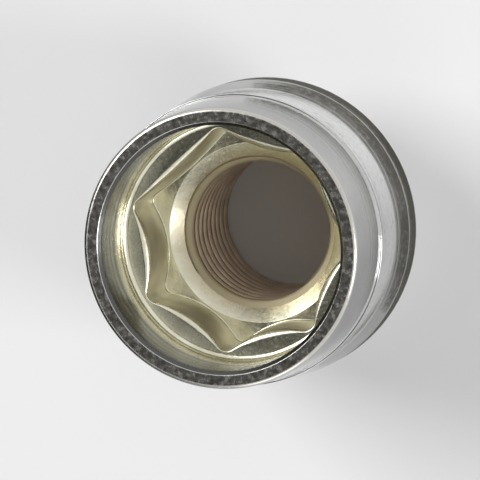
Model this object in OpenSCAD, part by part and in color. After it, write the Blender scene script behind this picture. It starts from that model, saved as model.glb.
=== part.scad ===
// Locking wheel nut, turned from one piece of steel. Millimetres.
// The axis is Z: the cone seat's flat end lies on Z = 0 and the key end faces +Z.
// The diameters follow from the thread outwards, wall by wall.

/* [Thread] */
// Outer diameter of the stud's thread
thread_d = 12.7; // [12:0.1:13]
// Depth of the thread, from its outer diameter in to its crests
thread_depth = 0.65; // [0.5:0.05:0.7]
// How far the lead-in chamfer at the seat end opens past the thread
lead_in_margin = 0.25; // [0.1:0.05:0.5]

/* [Key pattern] */
// How far the funnel's mouth opens past the thread
funnel_margin = 1.1; // [0.6:0.05:1.6]
// Included angle of the funnel that leads down to the thread
funnel_angle = 118; // [90:1:140]
// Ledge between the funnel's mouth and the lowest crest
foot_ledge = 0.25; // [0.1:0.05:0.6]
// How far the lobes' tips reach past the crests between them
wave_depth = 1.5; // [1.3:0.05:1.8]
// Radius of each lobe's rounded tip
lobe_tip_r = 0.8; // [0.6:0.05:1]
// Depth of the pattern below the recess's ledge
pattern_depth = 5.4; // [4:0.1:6]

/* [Key recess] */
// Width of the ledge outside the lobes' tips
ledge_w = 0.7; // [0.5:0.05:1]
// Radius of the fillet where the recess's wall meets the ledge
ledge_fillet = 0.5; // [0.2:0.05:0.5]
// Depth of the recess that guides the key, from the key end to its ledge
recess_depth = 6.2; // [4:0.1:8]
// Width of the chamfer round the recess's mouth
mouth_chamfer = 0.3; // [0.1:0.05:0.5]

/* [Outside] */
// Height from the seat end to the key end
nut_h = 24.4; // [23:0.1:30]
// Thickness of the nose's wall at the key end
nose_wall = 1.4; // [1.2:0.05:2]
// Length of the tapered nose, down to its shoulder
nose_l = 6; // [4:0.1:8]
// How far the nose widens all round, from the key end down to its shoulder
nose_taper = 0.45; // [0:0.05:0.8]
// Width of the shoulder where the nose meets the barrel
shoulder_w = 0.15; // [0.1:0.05:0.5]
// How far the collar, the widest part, stands out from the barrel
collar_w = 0.5; // [0.3:0.05:1.1]
// Height of the collar's straight edge
collar_l = 2.5; // [1:0.1:4]
// Length of the flare between barrel and collar
flare_l = 2.5; // [1:0.1:4]
// Radius that rounds the key end's outer edge
rim_round = 0.35; // [0.1:0.05:0.6]
// Radius that rounds the collar's edges
collar_round = 0.4; // [0.1:0.05:0.8]

/* [Cone seat] */
// Included angle of the cone seat
seat_angle = 60; // [56:1:90]
// Width of the flat ring under the cone, outside the lead-in chamfer
end_w = 0.9; // [0.5:0.05:1.9]

/* [Hidden] */
$fn = 96;
// Overlap of a cut with the space beyond it
cut = 1;
// Steps in each rounded edge of the turned profile
round_steps = 5;

// Directions of the lobes, unevenly spaced so that only one key fits
lobe_angles = [50, 102, 164, 213, 262, 310, 358];
lobes = len(lobe_angles);

// Radii, from the thread outwards
thread_r = thread_d / 2;
bore_r = thread_r - thread_depth;
lead_in_r = thread_r + lead_in_margin;
end_r = lead_in_r + end_w;
funnel_r = thread_r + funnel_margin;
crest_r = funnel_r + foot_ledge;
tip_r = crest_r + wave_depth;
recess_r = tip_r + ledge_w;
nose_r = recess_r + nose_wall;
nose_root_r = nose_r + nose_taper;
barrel_r = nose_root_r + shoulder_w;
collar_r = barrel_r + collar_w;
// Distance from the axis to the centre of a lobe's tip
lobe_c = tip_r - lobe_tip_r;

// Heights, from the seat end up
seat_half = seat_angle / 2;
cone_top = (collar_r - end_r) / tan(seat_half);
collar_top = cone_top + collar_l;
flare_top = collar_top + flare_l;
shoulder_z = nut_h - nose_l;
ledge_z = nut_h - recess_depth;
foot_z = ledge_z - pattern_depth;
funnel_depth = (funnel_r - bore_r) / tan(funnel_angle / 2);

// Angles that the slopes of flare and nose give their outward normals
flare_lean = atan(collar_w / flare_l);
nose_lean = atan(nose_taper / nose_l);

// Points on an arc, from angle a0 to angle a1
function arc(centre, r, a0, a1) =
    [for (i = [0:round_steps])
        let (a = a0 + (a1 - a0) * i / round_steps)
        centre + r * [cos(a), sin(a)]];

// Rounded corner of radius r between two edges whose outward normals lean to
// a0 and a1; corner is where the straight edges would meet
function rounded(corner, r, a0, a1) =
    let (mid = (a0 + a1) / 2, back = r / cos((a1 - a0) / 2))
    arc(corner - back * [cos(mid), sin(mid)], r, a0, a1);

// Half of the turned outline, from the axis at the seat end to the axis at the key end
outline = concat(
    [[0, 0], [end_r, 0]],
    rounded([collar_r, cone_top], collar_round, -seat_half, 0),
    rounded([collar_r, collar_top], collar_round, 0, flare_lean),
    [[barrel_r, flare_top], [barrel_r, shoulder_z], [nose_root_r, shoulder_z]],
    rounded([nose_r, nut_h], rim_round, nose_lean, 90),
    [[0, nut_h]]
);

// Half of the recess's outline, from the axis above the key end round to the ledge
recess_outline = concat(
    [[0, nut_h + cut], [0, ledge_z]],
    arc([recess_r - ledge_fillet, ledge_z + ledge_fillet], ledge_fillet, -90, 0),
    [[recess_r, nut_h - mouth_chamfer], [recess_r + mouth_chamfer + cut, nut_h + cut]]
);

// Half the angle between lobe i and the next one
function half_gap(i) =
    let (gap = lobe_angles[(i + 1) % lobes] - lobe_angles[i])
    (gap > 0 ? gap : gap + 360) / 2;

// Radius of the crest between lobe i and the next one, which comes in to
// crest_r and runs smoothly into both lobe tips
function crest_round(i) =
    let (along = lobe_c * cos(half_gap(i)))
    (pow(lobe_c, 2) + pow(crest_r, 2) - 2 * crest_r * along - pow(lobe_tip_r, 2))
    / (2 * (lobe_tip_r + along - crest_r));

function lobe_centre(i) = lobe_c * [cos(lobe_angles[i]), sin(lobe_angles[i])];

function crest_centre(i) =
    let (a = lobe_angles[i] + half_gap(i), r = crest_r + crest_round(i))
    r * [cos(a), sin(a)];

// Outline of the key pattern: a star through the centres of all arcs, with
// the lobe tips added and the crests taken away
module pattern_outline() {
    difference() {
        union() {
            polygon([for (i = [0:lobes - 1]) each [lobe_centre(i), crest_centre(i)]]);
            for (i = [0:lobes - 1]) translate(lobe_centre(i)) circle(lobe_tip_r);
        }
        for (i = [0:lobes - 1]) translate(crest_centre(i)) circle(crest_round(i));
    }
}

// Patterned socket below the ledge, and the funnel in its floor
module key_socket() {
    translate([0, 0, foot_z]) linear_extrude(pattern_depth + cut) pattern_outline();
    translate([0, 0, foot_z - funnel_depth])
        cylinder(h = funnel_depth, r1 = bore_r, r2 = funnel_r);
}

// Hole for the stud's thread, with the lead-in at the seat end
module stud_hole() {
    translate([0, 0, -cut]) cylinder(h = nut_h, r = bore_r);
    translate([0, 0, -cut])
        cylinder(h = lead_in_r - bore_r + cut, r1 = lead_in_r + cut, r2 = bore_r);
}

module lock_nut() {
    color("silver")
        difference() {
            rotate_extrude() polygon(outline);
            rotate_extrude() polygon(recess_outline);
            key_socket();
            stud_hole();
        }
}

lock_nut();
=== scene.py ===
import math

import bmesh
import bpy
from mathutils import Matrix, Vector


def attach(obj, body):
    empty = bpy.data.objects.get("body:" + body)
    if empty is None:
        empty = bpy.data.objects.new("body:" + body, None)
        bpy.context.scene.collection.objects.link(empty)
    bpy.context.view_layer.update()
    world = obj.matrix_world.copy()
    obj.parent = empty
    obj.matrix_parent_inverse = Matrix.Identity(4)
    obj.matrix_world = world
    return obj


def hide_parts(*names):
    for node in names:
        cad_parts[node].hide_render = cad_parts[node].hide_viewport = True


# Looks of the locking wheel nut, in metres, in the part's own frame.
# The axis is Z: the seat end lies on Z = 0 and the key end faces +Z.

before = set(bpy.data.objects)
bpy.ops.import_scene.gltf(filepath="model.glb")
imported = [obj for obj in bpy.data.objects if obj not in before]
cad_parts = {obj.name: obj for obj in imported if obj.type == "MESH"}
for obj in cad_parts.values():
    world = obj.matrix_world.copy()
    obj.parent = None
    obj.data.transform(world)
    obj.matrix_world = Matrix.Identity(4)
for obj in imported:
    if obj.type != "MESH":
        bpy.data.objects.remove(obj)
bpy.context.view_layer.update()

MM = 0.001

# Thread, of 60 degree form; its lead-in chamfer opens a margin past it
THREAD_R = 6.35 * MM
THREAD_DEPTH = 0.65 * MM
THREAD_PITCH = 1.27 * MM
THREAD_ROOT_W = THREAD_PITCH / 8
THREAD_FLANK = math.radians(30)
LEAD_IN_MARGIN = 0.25 * MM

# Key pattern: the funnel above the thread, and the uneven wave of lobes and crests above it
FUNNEL_MARGIN = 1.1 * MM
FUNNEL_ANGLE = math.radians(118)
FOOT_LEDGE = 0.25 * MM
WAVE_DEPTH = 1.5 * MM
LOBE_TIP_R = 0.8 * MM
PATTERN_DEPTH = 5.4 * MM
LOBE_ANGLES = [math.radians(a) for a in (50, 102, 164, 213, 262, 310, 358)]

# Key recess
LEDGE_W = 0.7 * MM
LEDGE_FILLET = 0.5 * MM
RECESS_DEPTH = 6.2 * MM
MOUTH_CHAMFER = 0.3 * MM

# Outside
NUT_H = 24.4 * MM
NOSE_WALL = 1.4 * MM
NOSE_L = 6 * MM
NOSE_TAPER = 0.45 * MM
SHOULDER_W = 0.15 * MM
COLLAR_W = 0.5 * MM
COLLAR_L = 2.5 * MM
FLARE_L = 2.5 * MM
RIM_ROUND = 0.35 * MM
COLLAR_ROUND = 0.4 * MM

# Cone seat
SEAT_ANGLE = math.radians(60)
END_W = 0.9 * MM

# Radii, from the thread outwards
BORE_R = THREAD_R - THREAD_DEPTH
LEAD_IN_R = THREAD_R + LEAD_IN_MARGIN
END_R = LEAD_IN_R + END_W
FUNNEL_R = THREAD_R + FUNNEL_MARGIN
CREST_R = FUNNEL_R + FOOT_LEDGE
TIP_R = CREST_R + WAVE_DEPTH
RECESS_R = TIP_R + LEDGE_W
NOSE_R = RECESS_R + NOSE_WALL
NOSE_ROOT_R = NOSE_R + NOSE_TAPER
BARREL_R = NOSE_ROOT_R + SHOULDER_W
COLLAR_R = BARREL_R + COLLAR_W

# Distance from the axis to the centre of a lobe's tip
LOBE_C = TIP_R - LOBE_TIP_R

# Heights, from the seat end up; the lead-in chamfer is as high as wide
LEAD_IN_TOP = LEAD_IN_MARGIN
CONE_TOP = (COLLAR_R - END_R) / math.tan(SEAT_ANGLE / 2)
COLLAR_TOP = CONE_TOP + COLLAR_L
FLARE_TOP = COLLAR_TOP + FLARE_L
SHOULDER_Z = NUT_H - NOSE_L
LEDGE_Z = NUT_H - RECESS_DEPTH
FOOT_Z = LEDGE_Z - PATTERN_DEPTH
FUNNEL_SLOPE = math.tan(FUNNEL_ANGLE / 2)
BORE_TOP = FOOT_Z - (FUNNEL_R - BORE_R) / FUNNEL_SLOPE
THREAD_TOP = BORE_TOP + THREAD_DEPTH / FUNNEL_SLOPE

# Small roundings that plating leaves on the edges
EDGE_ROUND = 0.05 * MM
END_ROUND = 0.2 * MM
ROOT_ROUND = 0.03 * MM
FLARE_ROUND = 0.3 * MM
LOBE_EDGE_ROUND = 0.12 * MM
CREST_EDGE_ROUND = 0.6 * MM
FOOT_ROUND = 0.12 * MM

# Fineness of the mesh
SIDES = 360
ARC_STEP = math.radians(12)
FEWEST_ARC_STEPS = 2
WAVE_TOP_STEPS = 6
WAVE_FOOT_STEPS = 4
ROWS_PER_PITCH = 10

# A rounding has one more ring this far outside each end, so that what lies beyond shades flat
SUPPORT = 0.03 * MM

# Points closer than this become one
MERGE = 0.0002 * MM


# Key pattern

# Sides of a circle, seen from the axis
NEAR, FAR = -1, 1


def half_gap(i):
    """Half the angle between lobe i and the next one."""
    gap = LOBE_ANGLES[(i + 1) % len(LOBE_ANGLES)] - LOBE_ANGLES[i]
    return (gap % math.tau) / 2


def crest_round(i):
    """Radius of the crest between lobe i and the next one, which it touches smoothly."""
    along = LOBE_C * math.cos(half_gap(i))
    # From the triangle of the axis and both centres, whose distance is the sum of the radii
    over = LOBE_C ** 2 + CREST_R ** 2 - 2 * CREST_R * along - LOBE_TIP_R ** 2
    under = 2 * (LOBE_TIP_R + along - CREST_R)
    return over / under


def joint_angle(i):
    """Angle from the middle of the crest after lobe i to where it meets the lobes."""
    half = half_gap(i)
    lobe = Vector((LOBE_C * math.cos(half), LOBE_C * math.sin(half)))
    crest = Vector((CREST_R + crest_round(i), 0))
    # The joint lies on the line between their centres
    joint = lobe + (crest - lobe).normalized() * LOBE_TIP_R
    return math.atan2(joint.y, joint.x)


def to_circle(centre, radius, off, side):
    """Distance from the axis to a circle's near or far side, in a direction
    that is the angle off away from the circle's centre."""
    half_chord = math.sqrt(radius ** 2 - (centre * math.sin(off)) ** 2)
    return centre * math.cos(off) + side * half_chord


def wave_radius(angle):
    """Distance from the axis to the key pattern's wall in one direction."""
    for i, start in enumerate(LOBE_ANGLES):
        half = half_gap(i)
        past_lobe = (angle - start) % math.tau
        if past_lobe > 2 * half:
            continue
        off_crest = abs(past_lobe - half)
        if off_crest > joint_angle(i):
            return to_circle(LOBE_C, LOBE_TIP_R, half - off_crest, FAR)
        crest_r = crest_round(i)
        return to_circle(CREST_R + crest_r, crest_r, off_crest, NEAR)
    raise ValueError("no lobe in this direction")


# Profiles

def rounded_profile(corners):
    """Points of a profile whose corners (radius, height, rounding) are rounded,
    with a support point beside each arc so that the straight stretches shade flat."""
    points = []
    spots = [Vector((r, z)) for r, z, _ in corners]
    for i, corner in enumerate(spots):
        rounding = corners[i][2]
        if rounding == 0:
            points.append(corner)
            continue
        back = (spots[i - 1] - corner).normalized()
        ahead = (spots[i + 1] - corner).normalized()
        open_angle = back.angle(ahead)
        reach = rounding / math.tan(open_angle / 2)
        centre = corner + (back + ahead).normalized() * rounding / math.sin(open_angle / 2)
        first = corner + back * reach - centre
        turn = -first.angle_signed(corner + ahead * reach - centre)
        steps = max(FEWEST_ARC_STEPS, math.ceil(abs(turn) / ARC_STEP))
        points.append(corner + back * (reach + SUPPORT))
        for k in range(steps + 1):
            a = turn * k / steps
            spoke = Vector((first.x * math.cos(a) - first.y * math.sin(a),
                            first.x * math.sin(a) + first.y * math.cos(a)))
            points.append(centre + spoke)
        points.append(corner + ahead * (reach + SUPPORT))
    return points


def outside_profile():
    """From the lead-in chamfer over the outside to the recess's ledge."""
    profile = rounded_profile([
        (THREAD_R, LEAD_IN_TOP, 0),
        (LEAD_IN_R, 0, EDGE_ROUND),
        (END_R, 0, END_ROUND),
        (COLLAR_R, CONE_TOP, COLLAR_ROUND),
        (COLLAR_R, COLLAR_TOP, COLLAR_ROUND),
        (BARREL_R, FLARE_TOP, FLARE_ROUND),
        (BARREL_R, SHOULDER_Z, EDGE_ROUND),
        (NOSE_ROOT_R, SHOULDER_Z, ROOT_ROUND),
        (NOSE_R, NUT_H, RIM_ROUND),
        (RECESS_R + MOUTH_CHAMFER, NUT_H, EDGE_ROUND),
        (RECESS_R, NUT_H - MOUTH_CHAMFER, EDGE_ROUND),
        (RECESS_R, LEDGE_Z, LEDGE_FILLET),
        (TIP_R + LOBE_EDGE_ROUND + SUPPORT, LEDGE_Z, 0),
    ])
    # The last corner only gives the fillet its direction, as the wave's rings begin there
    return profile[:-1]


def quarter(steps):
    """Sine and cosine of even steps over a quarter turn."""
    angles = [math.radians(90 * k / steps) for k in range(steps + 1)]
    return [(math.sin(a), math.cos(a)) for a in angles]


def wave_profile(rounding):
    """Steps across the wavy wall, each a distance out from the wall and a height;
    the top edge has the given rounding."""
    steps = [(rounding + SUPPORT, LEDGE_Z)]
    for sine, cosine in quarter(WAVE_TOP_STEPS):
        steps.append((rounding * (1 - sine), LEDGE_Z - rounding * (1 - cosine)))
    steps.append((0, LEDGE_Z - rounding - SUPPORT))
    steps.append((0, (LEDGE_Z + FOOT_Z) / 2))
    steps.append((0, FOOT_Z + FOOT_ROUND + SUPPORT))
    for sine, cosine in quarter(WAVE_FOOT_STEPS):
        steps.append((-FOOT_ROUND * (1 - cosine), FOOT_Z + FOOT_ROUND * (1 - sine)))
    return steps


def funnel_profile():
    """From the foot ledge down the funnel, close to where the thread begins."""
    profile = rounded_profile([
        (CREST_R - FOOT_ROUND, FOOT_Z, 0),
        (FUNNEL_R, FOOT_Z, EDGE_ROUND),
        (THREAD_R + SUPPORT, THREAD_TOP + SUPPORT / FUNNEL_SLOPE, 0),
    ])
    # The first corner only gives the edge its direction, as the wave's rings end there
    return profile[1:]


# Rings of the mesh, each a list of SIDES + 1 points; the last meets the first,
# and in the thread, which climbs, the first of the row a pitch above

def turned_ring(r, z):
    """A level circle about the axis."""
    turns = [math.tau * j / SIDES for j in range(SIDES + 1)]
    return [(r * math.cos(a), r * math.sin(a), z) for a in turns]


def wave_rings():
    """Rings down the wavy wall, its top edge more rounded at the crests than at the lobes."""
    columns = []
    for j in range(SIDES + 1):
        a = math.tau * (j % SIDES) / SIDES
        wall = wave_radius(a)
        crest_share = (TIP_R - wall) / WAVE_DEPTH
        rounding = LOBE_EDGE_ROUND + (CREST_EDGE_ROUND - LOBE_EDGE_ROUND) * crest_share
        columns.append([((wall + out) * math.cos(a), (wall + out) * math.sin(a), z)
                        for out, z in wave_profile(rounding)])
    return [list(ring) for ring in zip(*columns)]


def thread_radius(z, turn):
    """Radius of the internal right-hand thread at one height and turn."""
    flank = THREAD_DEPTH * math.tan(THREAD_FLANK)
    along = (z - THREAD_PITCH * turn / math.tau) % THREAD_PITCH
    from_root = min(along, THREAD_PITCH - along)
    depth = 1 - (from_root - THREAD_ROOT_W / 2) / flank
    return BORE_R + THREAD_DEPTH * min(1, max(0, depth))


def thread_rings():
    """Rows along the helix, cut off where funnel and lead-in chamfer are wider."""
    step = THREAD_PITCH / ROWS_PER_PITCH
    rows = math.ceil((THREAD_TOP - LEAD_IN_TOP + THREAD_PITCH) / step)
    rings = []
    for k in range(rows + 1):
        ring = []
        for j in range(SIDES + 1):
            turn = math.tau * j / SIDES
            z = THREAD_TOP - k * step + THREAD_PITCH * j / SIDES
            z = min(THREAD_TOP, max(LEAD_IN_TOP, z))
            funnel_r = BORE_R + (z - BORE_TOP) * FUNNEL_SLOPE
            lead_in_r = LEAD_IN_R - z
            r = max(thread_radius(z, turn), funnel_r, lead_in_r)
            ring.append((r * math.cos(turn), r * math.sin(turn), z))
        rings.append(ring)
    return rings


# Finishes, by their places among the nut's materials
CHROME, NICKEL, STEEL = range(3)


def nut_rings():
    """All rings round the nut's section, each with the finish of the band after it."""
    rings = []
    for p in outside_profile():
        # Nickel begins at the mouth's chamfer; the seat end is narrower still, but lies lower
        inner = p.x < RECESS_R + MOUTH_CHAMFER - SUPPORT and p.y > LEDGE_Z - SUPPORT
        rings.append((turned_ring(p.x, p.y), NICKEL if inner else CHROME))
    for ring in wave_rings():
        rings.append((ring, NICKEL))
    for p in funnel_profile():
        rings.append((turned_ring(p.x, p.y), NICKEL))
    for ring in thread_rings():
        rings.append((ring, STEEL))
    return rings


# Objects

def add_object(name, data):
    """A new object in the scene, with its mesh, light or camera."""
    made = bpy.data.objects.new(name, data)
    bpy.context.scene.collection.objects.link(made)
    return made


def weld(mesh):
    """Joins points that meet, turns the faces outwards and shades them smooth."""
    bm = bmesh.new()
    bm.from_mesh(mesh)
    bmesh.ops.remove_doubles(bm, verts=bm.verts, dist=MERGE)
    bmesh.ops.recalc_face_normals(bm, faces=bm.faces)
    for face in bm.faces:
        face.smooth = True
    bm.to_mesh(mesh)
    bm.free()


def build_nut():
    """The nut as one closed mesh of quads, with one finish for each of its zones."""
    mesh = bpy.data.meshes.new("lock_nut_body")
    rings = nut_rings()
    columns = SIDES + 1
    points = [p for ring, _ in rings for p in ring]
    faces = []
    finishes = []
    for i in range(len(rings) - 1):
        for j in range(SIDES):
            a = i * columns + j
            faces.append((a, a + 1, a + 1 + columns, a + columns))
            finishes.append(rings[i][1])
    mesh.from_pydata(points, [], faces)
    mesh.polygons.foreach_set("material_index", finishes)
    weld(mesh)
    return add_object("lock_nut_body", mesh)


# Nodes

# A Mix node has sockets of several kinds; these are its colour ones
MIX_FIRST, MIX_SECOND, MIX_RESULT = 6, 7, 2

MATT_ROUGH = 0.9


class Nodes:
    """Short calls that add nodes to a material or a world."""

    def __init__(self, owner):
        owner.use_nodes = True
        self.tree = owner.node_tree

    def fill(self, socket, value):
        """Sets a socket to a number or a colour, or links it to a node's output."""
        if isinstance(value, (int, float)):
            socket.default_value = value
        elif isinstance(value, tuple):
            socket.default_value = (*value, 1)
        else:
            self.tree.links.new(value, socket)

    def set(self, node, **sockets):
        """Fills a node's sockets, whose names have _ for a space."""
        for key, value in sockets.items():
            self.fill(node.inputs[key.replace("_", " ")], value)

    def add(self, kind, **sockets):
        """A new node with some of its sockets filled."""
        node = self.tree.nodes.new("ShaderNode" + kind)
        self.set(node, **sockets)
        return node

    def math(self, kind, *values):
        """A number worked out from one or two others."""
        node = self.add("Math")
        node.operation = kind
        for socket, value in zip(node.inputs, values):
            self.fill(socket, value)
        return node.outputs["Value"]

    def spread(self, value, span, onto=(0, 1)):
        """Brings the values of one span onto another, and keeps the rest at its ends."""
        node = self.add("MapRange", Value=value, From_Min=span[0], From_Max=span[1],
                        To_Min=onto[0], To_Max=onto[1])
        node.clamp = True
        return node.outputs["Result"]

    def between(self, share, first, second):
        """The first number where the share is 0, and the second where it is 1."""
        step = self.math("SUBTRACT", second, first)
        return self.math("ADD", first, self.math("MULTIPLY", share, step))

    def mix(self, share, first, second):
        """The first colour where the share is 0, and the second where it is 1."""
        node = self.add("Mix", Factor=share)
        node.data_type = "RGBA"
        self.fill(node.inputs[MIX_FIRST], first)
        self.fill(node.inputs[MIX_SECOND], second)
        return node.outputs[MIX_RESULT]


class Finish(Nodes):
    """A new material, with calls for places on the object and for bumps."""

    def __init__(self, name):
        self.material = bpy.data.materials.new(name)
        super().__init__(self.material)
        self.shader = self.tree.nodes["Principled BSDF"]

    def place(self):
        """Place of a point in the object's frame, in metres."""
        return self.add("TexCoord").outputs["Object"]

    def height(self, place):
        """Height of a place above the seat end."""
        return self.add("SeparateXYZ", Vector=place).outputs["Z"]

    def radius(self, place):
        """Distance of a place from the axis."""
        x, y, _ = self.add("SeparateXYZ", Vector=place).outputs
        squares = self.math("ADD", self.math("MULTIPLY", x, x), self.math("MULTIPLY", y, y))
        return self.math("SQRT", squares)

    def turn(self, place):
        """Turn of a place about the axis, in radians."""
        x, y, _ = self.add("SeparateXYZ", Vector=place).outputs
        return self.math("ARCTAN2", y, x)

    def vector(self, x, y, z):
        """A vector of three numbers or outputs."""
        return self.add("CombineXYZ", X=x, Y=y, Z=z).outputs["Vector"]

    def noise(self, vector, scale, detail=2, rough=0.5):
        """Noise whose scale is in waves for each metre."""
        node = self.add("TexNoise", Vector=vector, Scale=scale, Detail=detail, Roughness=rough)
        return node.outputs["Fac"]

    def bump(self, height, strength, distance, under=None):
        """Bumps of some height, over the ones under them."""
        node = self.add("Bump", Height=height, Strength=strength, Distance=distance)
        if under is not None:
            self.set(node, Normal=under)
        return node.outputs["Normal"]

    def metal(self, tint, rough, normal):
        """Makes the finish a metal."""
        self.set(self.shader, Base_Color=tint, Metallic=1.0, Roughness=rough, Normal=normal)

    def matt(self, colour):
        """Makes the finish one plain colour without gloss."""
        self.set(self.shader, Base_Color=colour, Roughness=MATT_ROUGH, Specular_IOR_Level=0.0)


# Finishes of the nut

# Spans of noise: the middle, where most of its values lie, and a wider one
NOISE_MIDDLE = (0.35, 0.65)
NOISE_WIDE = (0.3, 0.7)

# For a spread that falls from 1 to 0
FALLING = (1, 0)

# Chrome, and the land of the rim, whose tint is partly wear and partly painted shade that
# keeps the rim as dark as its reflection, with the heights between which they fade
CHROME_DARK = (0.72, 0.725, 0.72)
CHROME_LIGHT = (0.82, 0.825, 0.815)
LAND_WEAR_AND_SHADE_TINT = (0.62, 0.60, 0.55)
LAND_FADE = (NUT_H - 0.3 * MM, NUT_H - 0.05 * MM)

# Roughness of the chrome, what its specks add, and roughness of the scuffed land
CHROME_ROUGH = (0.08, 0.15)
SPECK_SPAN = (0.45, 0.75)
SPECK_ROUGH = (0, 0.09)
SCUFF_SPAN = (0.38, 0.68)
SCUFF_ROUGH = (0.17, 0.3)


def chrome():
    """Bright chrome over fine turning marks, a little cloudy, and on the rim scuffed, with a
    darker tint that is partly painted shade.
    """
    n = Finish("bright_chrome")
    place = n.place()
    z = n.height(place)
    cloud = n.noise(place, scale=260, detail=3)
    specks = n.noise(place, scale=2600)
    scuffs = n.noise(place, scale=2300, detail=3, rough=0.6)
    on_land = n.spread(z, LAND_FADE)
    plated = n.mix(n.spread(cloud, NOISE_MIDDLE), CHROME_DARK, CHROME_LIGHT)
    # Painted shade: the land's tint is darker than wear alone makes it, as dark as the rim's
    # reflection
    tint = n.mix(on_land, plated, LAND_WEAR_AND_SHADE_TINT)
    clouded = n.spread(cloud, NOISE_WIDE, CHROME_ROUGH)
    clean = n.math("ADD", clouded, n.spread(specks, SPECK_SPAN, SPECK_ROUGH))
    scuffed = n.spread(scuffs, SCUFF_SPAN, SCUFF_ROUGH)
    rough = n.between(on_land, clean, scuffed)
    across = n.vector(z, n.radius(place), 0)
    waves = n.noise(across, scale=2400)
    marks = n.noise(across, scale=9000, detail=3, rough=0.6)
    wavy = n.bump(waves, strength=0.3, distance=0.03 * MM)
    normal = n.bump(marks, strength=0.06, distance=0.02 * MM, under=wavy)
    n.metal(tint, rough, normal)
    return n.material


# Nickel: warm below; up the recess's wall greyer where the chrome reaches, and darkened as
# painted shade far below the plating's tone, darkest at its mouth, where painted shade covers
# the chamfer's highlight
NICKEL_DARK = (0.71, 0.68, 0.52)
NICKEL_LIGHT = (0.88, 0.85, 0.68)
PAINTED_WALL_SHADE_DARK = (0.15, 0.16, 0.15)
PAINTED_WALL_SHADE_LIGHT = (0.34, 0.35, 0.33)
WALL_FADE = (LEDGE_Z + 1.0 * MM, LEDGE_Z + 2.4 * MM)
MOUTH_PAINTED_SHADE = (0.12, 0.12, 0.12)
MOUTH_FADE = (NUT_H - 1.2 * MM, NUT_H - MOUTH_CHAMFER)

# Tint where the nickel thins out down the funnel into the thread
THREAD_PLATING = (0.57, 0.50, 0.36)
FUNNEL_FADE = (THREAD_TOP, FOOT_Z)

# Roughness off and on the wave, which is forged, and what the grain adds
NICKEL_ROUGH = (0.2, 0.48)
WAVE_TOP_FADE = (LEDGE_Z - 0.5 * MM, LEDGE_Z - 0.1 * MM)
WAVE_FOOT_FADE = (FOOT_Z, FOOT_Z + 0.2 * MM)
GRAIN_SPAN = (0.4, 0.7)
GRAIN_ROUGH = (0, 0.08)


def nickel():
    """Warm nickel in the recess, where the chrome hardly reaches; forged and duller, with
    painted shade on the upper wall and the mouth.
    """
    n = Finish("recess_nickel")
    place = n.place()
    z = n.height(place)
    cloud = n.noise(place, scale=420, detail=3)
    forged = n.noise(place, scale=900)
    grain = n.noise(place, scale=3800, detail=3)
    turned = n.noise(n.vector(z, n.radius(place), 0), scale=3000)
    warm = n.mix(n.spread(cloud, NOISE_MIDDLE), NICKEL_DARK, NICKEL_LIGHT)
    # Painted shade: the upper wall and the mouth are tinted far darker than the plating, with
    # turning marks in the grey
    wall = n.mix(n.spread(turned, NOISE_MIDDLE), PAINTED_WALL_SHADE_DARK, PAINTED_WALL_SHADE_LIGHT)
    shaded_wall = n.mix(n.spread(z, MOUTH_FADE), wall, MOUTH_PAINTED_SHADE)
    # The warm nickel below, under the painted shade of the wall
    plated = n.mix(n.spread(z, WALL_FADE, FALLING), shaded_wall, warm)
    tint = n.mix(n.spread(z, FUNNEL_FADE, FALLING), plated, THREAD_PLATING)
    below_ledge = n.spread(z, WAVE_TOP_FADE, FALLING)
    above_foot = n.spread(z, WAVE_FOOT_FADE)
    on_wave = n.math("MULTIPLY", below_ledge, above_foot)
    smooth = n.spread(on_wave, (0, 1), NICKEL_ROUGH)
    rough = n.math("ADD", smooth, n.spread(grain, GRAIN_SPAN, GRAIN_ROUGH))
    dented = n.bump(forged, strength=0.22, distance=0.1 * MM)
    normal = n.bump(grain, strength=0.06, distance=0.02 * MM, under=dented)
    n.metal(tint, rough, normal)
    return n.material


# Steel of the thread; the plating reaches down over its topmost turns
STEEL_DARK = (0.65, 0.54, 0.45)
STEEL_LIGHT = (0.82, 0.70, 0.60)
STEEL_FADE = (BORE_TOP - 1.5 * THREAD_PITCH, BORE_TOP)
STEEL_ROUGH = (0.5, 0.7)


def steel():
    """Dark, thinly plated steel of the thread."""
    n = Finish("thread_steel")
    place = n.place()
    z = n.height(place)
    along = n.vector(n.radius(place), z, n.turn(place))
    cloud = n.noise(place, scale=600, detail=3)
    grain = n.noise(along, scale=5000, detail=3)
    bare = n.mix(n.spread(cloud, NOISE_MIDDLE), STEEL_DARK, STEEL_LIGHT)
    tint = n.mix(n.spread(z, STEEL_FADE), bare, THREAD_PLATING)
    rough = n.spread(grain, NOISE_WIDE, STEEL_ROUGH)
    normal = n.bump(grain, strength=0.2, distance=0.02 * MM)
    n.metal(tint, rough, normal)
    return n.material


# Floor and cards; the camera sees the cards only as reflections in the metal

FLOOR_SIZE = 1.2
FLOOR_TINT = (0.8, 0.8, 0.8)

# Overhead card, which the rim and the ledges mirror; it lies this way and far from the origin
OVERHEAD_SIZE = 0.36
OVERHEAD_TINT = (0.05, 0.05, 0.05)
OVERHEAD_WAY = (-0.26, -0.12, 0.957)
OVERHEAD_DISTANCE = 0.6

# Cards round the nut: radius and height of the inner and of the outer edge.
# The collar's card lies just above the cone, so the cone doesn't mirror it.
GREY_TINT = (0.125, 0.12, 0.105)
COLLAR_CARD = ((12.44 * MM, 8.5 * MM), (13.05 * MM, 8.5 * MM))
FLARE_CARD = ((15.6 * MM, 6 * MM), (17.5 * MM, 6 * MM))
FLARE_CARD_TURNS = (-38, 100)
NOSE_TINT = (0.52, 0.52, 0.52)
NOSE_CARD = ((17 * MM, 0.5 * MM), (60 * MM, 0.5 * MM))
LOW_CARD_TOP = 300 * MM
LOW_CARD = ((30 * MM, 1 * MM), (300 * MM, LOW_CARD_TOP))

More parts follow.
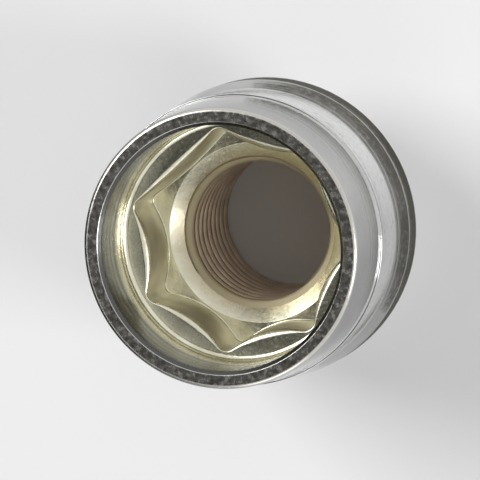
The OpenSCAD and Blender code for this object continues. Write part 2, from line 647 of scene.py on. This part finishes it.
# The low card is dark in one direction, and fades to its sides, by the cosine, and upwards
LOW_TINT = (0.03, 0.03, 0.03)
LOW_CARD_TURN = math.radians(195)
LOW_CARD_ASIDE = (0.15, 0.95)
LOW_CARD_UP = (0.4 * LOW_CARD_TOP, LOW_CARD_TOP)

# Turns of a whole ring in degrees, its fineness, and the share of its width that the
# ends of a crescent keep
WHOLE_RING = (0, 360)
RING_SIDES = 96
CRESCENT_END = 0.001


def plain_material(name, colour):
    """One colour all over."""
    n = Finish(name)
    n.matt(colour)
    return n.material


def fading_material(name, colour):
    """One colour that turns clear where the low card fades out."""
    n = Finish(name)
    n.matt(colour)
    place = n.place()
    way = n.math("COSINE", n.math("SUBTRACT", n.turn(place), LOW_CARD_TURN))
    upwards = n.spread(n.height(place), LOW_CARD_UP, FALLING)
    share = n.math("MULTIPLY", n.spread(way, LOW_CARD_ASIDE), upwards)
    clear = n.add("BsdfTransparent")
    both = n.add("MixShader", Fac=share)
    _, where_clear, where_dark = both.inputs
    n.fill(where_clear, clear.outputs["BSDF"])
    n.fill(where_dark, n.shader.outputs["BSDF"])
    n.set(n.tree.nodes["Material Output"], Surface=both.outputs["Shader"])
    return n.material


def stage_object(name, points, faces, material):
    """A floor or card, which isn't part of the nut."""
    mesh = bpy.data.meshes.new(name)
    mesh.from_pydata(points, [], faces)
    mesh.materials.append(material)
    made = add_object(name, mesh)
    return made


def square(name, size, material):
    """A level square about the axis."""
    h = size / 2
    corners = [(-h, -h, 0), (h, -h, 0), (h, h, 0), (-h, h, 0)]
    return stage_object(name, corners, [(0, 1, 2, 3)], material)


def reflected_ring(name, edges, material, turns=WHOLE_RING):
    """A ring, or a crescent from one turn to another, that shows in reflections alone.
    Its two edges are (radius, height)."""
    first, last = turns
    inner, outer = Vector(edges[0]), Vector(edges[1])
    points = []
    for j in range(RING_SIDES + 1):
        a = math.radians(first + (last - first) * j / RING_SIDES)
        share = 1 if turns == WHOLE_RING else math.sqrt(math.sin(math.pi * j / RING_SIDES))
        for r, height in (inner, inner.lerp(outer, max(share, CRESCENT_END))):
            points.append((r * math.cos(a), r * math.sin(a), height))
    faces = [(2 * j, 2 * j + 1, 2 * j + 3, 2 * j + 2) for j in range(RING_SIDES)]
    made = stage_object(name, points, faces, material)
    made.visible_camera = False
    made.visible_diffuse = False
    made.visible_shadow = False


def aim(thing, place, target, up=None):
    """Puts a lamp, card or camera at place, looking at target."""
    thing.location = place
    look = (Vector(target) - Vector(place)).normalized()
    if up is None:
        thing.rotation_euler = look.to_track_quat("-Z", "Y").to_euler()
        return
    right = look.cross(Vector(up)).normalized()
    above = right.cross(look)
    thing.rotation_euler = Matrix((right, above, -look)).transposed().to_euler()


def overhead_card():
    """Dark card above the key end, on the side away from the camera."""
    card = square("overhead_card", OVERHEAD_SIZE, plain_material("dark_card", OVERHEAD_TINT))
    card.visible_camera = False
    aim(card, Vector(OVERHEAD_WAY) * OVERHEAD_DISTANCE, (0, 0, NUT_H))


def cards():
    """The overhead card and the rings that give collar, flare and nose their tones."""
    overhead_card()
    grey = plain_material("grey_card", GREY_TINT)
    reflected_ring("collar_card", COLLAR_CARD, grey)
    reflected_ring("flare_card", FLARE_CARD, grey, FLARE_CARD_TURNS)
    reflected_ring("nose_card", NOSE_CARD, plain_material("mid_card", NOSE_TINT))
    reflected_ring("low_card", LOW_CARD, fading_material("fading_card", LOW_TINT))


# Light

# Place, width and power in watts of each lamp; all look at the middle of the nut
LAMPS = {
    "key_lamp": ((-0.50, 0.29, 0.54), 0.45, 4.0),
    "side_lamp": ((0.53, -0.135, 0.33), 0.2, 1.4),
    "front_lamp": ((0.05, -0.6, 0.36), 0.3, 0.5),
}

# Colour of the world, and its strength as fill light
WORLD_TINT = (0.8, 0.8, 0.8)
WORLD_FILL = 0.62


def lamp(name, place, width, power):
    """A soft square lamp."""
    light = bpy.data.lights.new(name, "AREA")
    light.shape = "SQUARE"
    light.size = width
    light.energy = power
    aim(add_object(name, light), place, (0, 0, NUT_H / 2))


def world_light():
    """White for camera, glossy and transmission rays, and a dim fill for the rest."""
    world = bpy.data.worlds.new("studio")
    bpy.context.scene.world = world
    n = Nodes(world)
    path = n.add("LightPath").outputs
    seen = n.math("MAXIMUM", path["Is Camera Ray"], path["Is Glossy Ray"])
    shown = n.math("MAXIMUM", seen, path["Is Transmission Ray"])
    strength = n.spread(shown, (0, 1), (WORLD_FILL, 1))
    n.set(n.tree.nodes["Background"], Color=WORLD_TINT, Strength=strength)


def studio():
    """Pale floor, cards and soft light."""
    square("floor", FLOOR_SIZE, plain_material("pale_floor", FLOOR_TINT))
    cards()
    for name, (place, width, power) in LAMPS.items():
        lamp(name, place, width, power)
    world_light()


# Camera, with its lens and sensor in millimetres
CAMERA_WAY = (0.272, 0.126, 1.0)
CAMERA_DISTANCE = 412 * MM
CAMERA_TARGET = (0.9 * MM, 0.4 * MM, NUT_H - 3 * MM)
CAMERA_UP = (0, 1, 0)
CAMERA_LENS = 385
CAMERA_SENSOR = 36
CAMERA_CLIP = 0.01


def camera():
    """A long lens that looks down into the recess from a little to one side."""
    view = bpy.data.cameras.new("view")
    view.lens = CAMERA_LENS
    view.sensor_width = CAMERA_SENSOR
    view.clip_start = CAMERA_CLIP
    made = add_object("view", view)
    target = Vector(CAMERA_TARGET)
    way = Vector(CAMERA_WAY).normalized()
    aim(made, target + way * CAMERA_DISTANCE, target, CAMERA_UP)
    bpy.context.scene.camera = made


nut = build_nut()
for finish in (chrome, nickel, steel):
    nut.data.materials.append(finish())
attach(nut, "root")
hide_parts("lock_nut")

studio()
camera()
bpy.context.scene.view_settings.view_transform = "Standard"
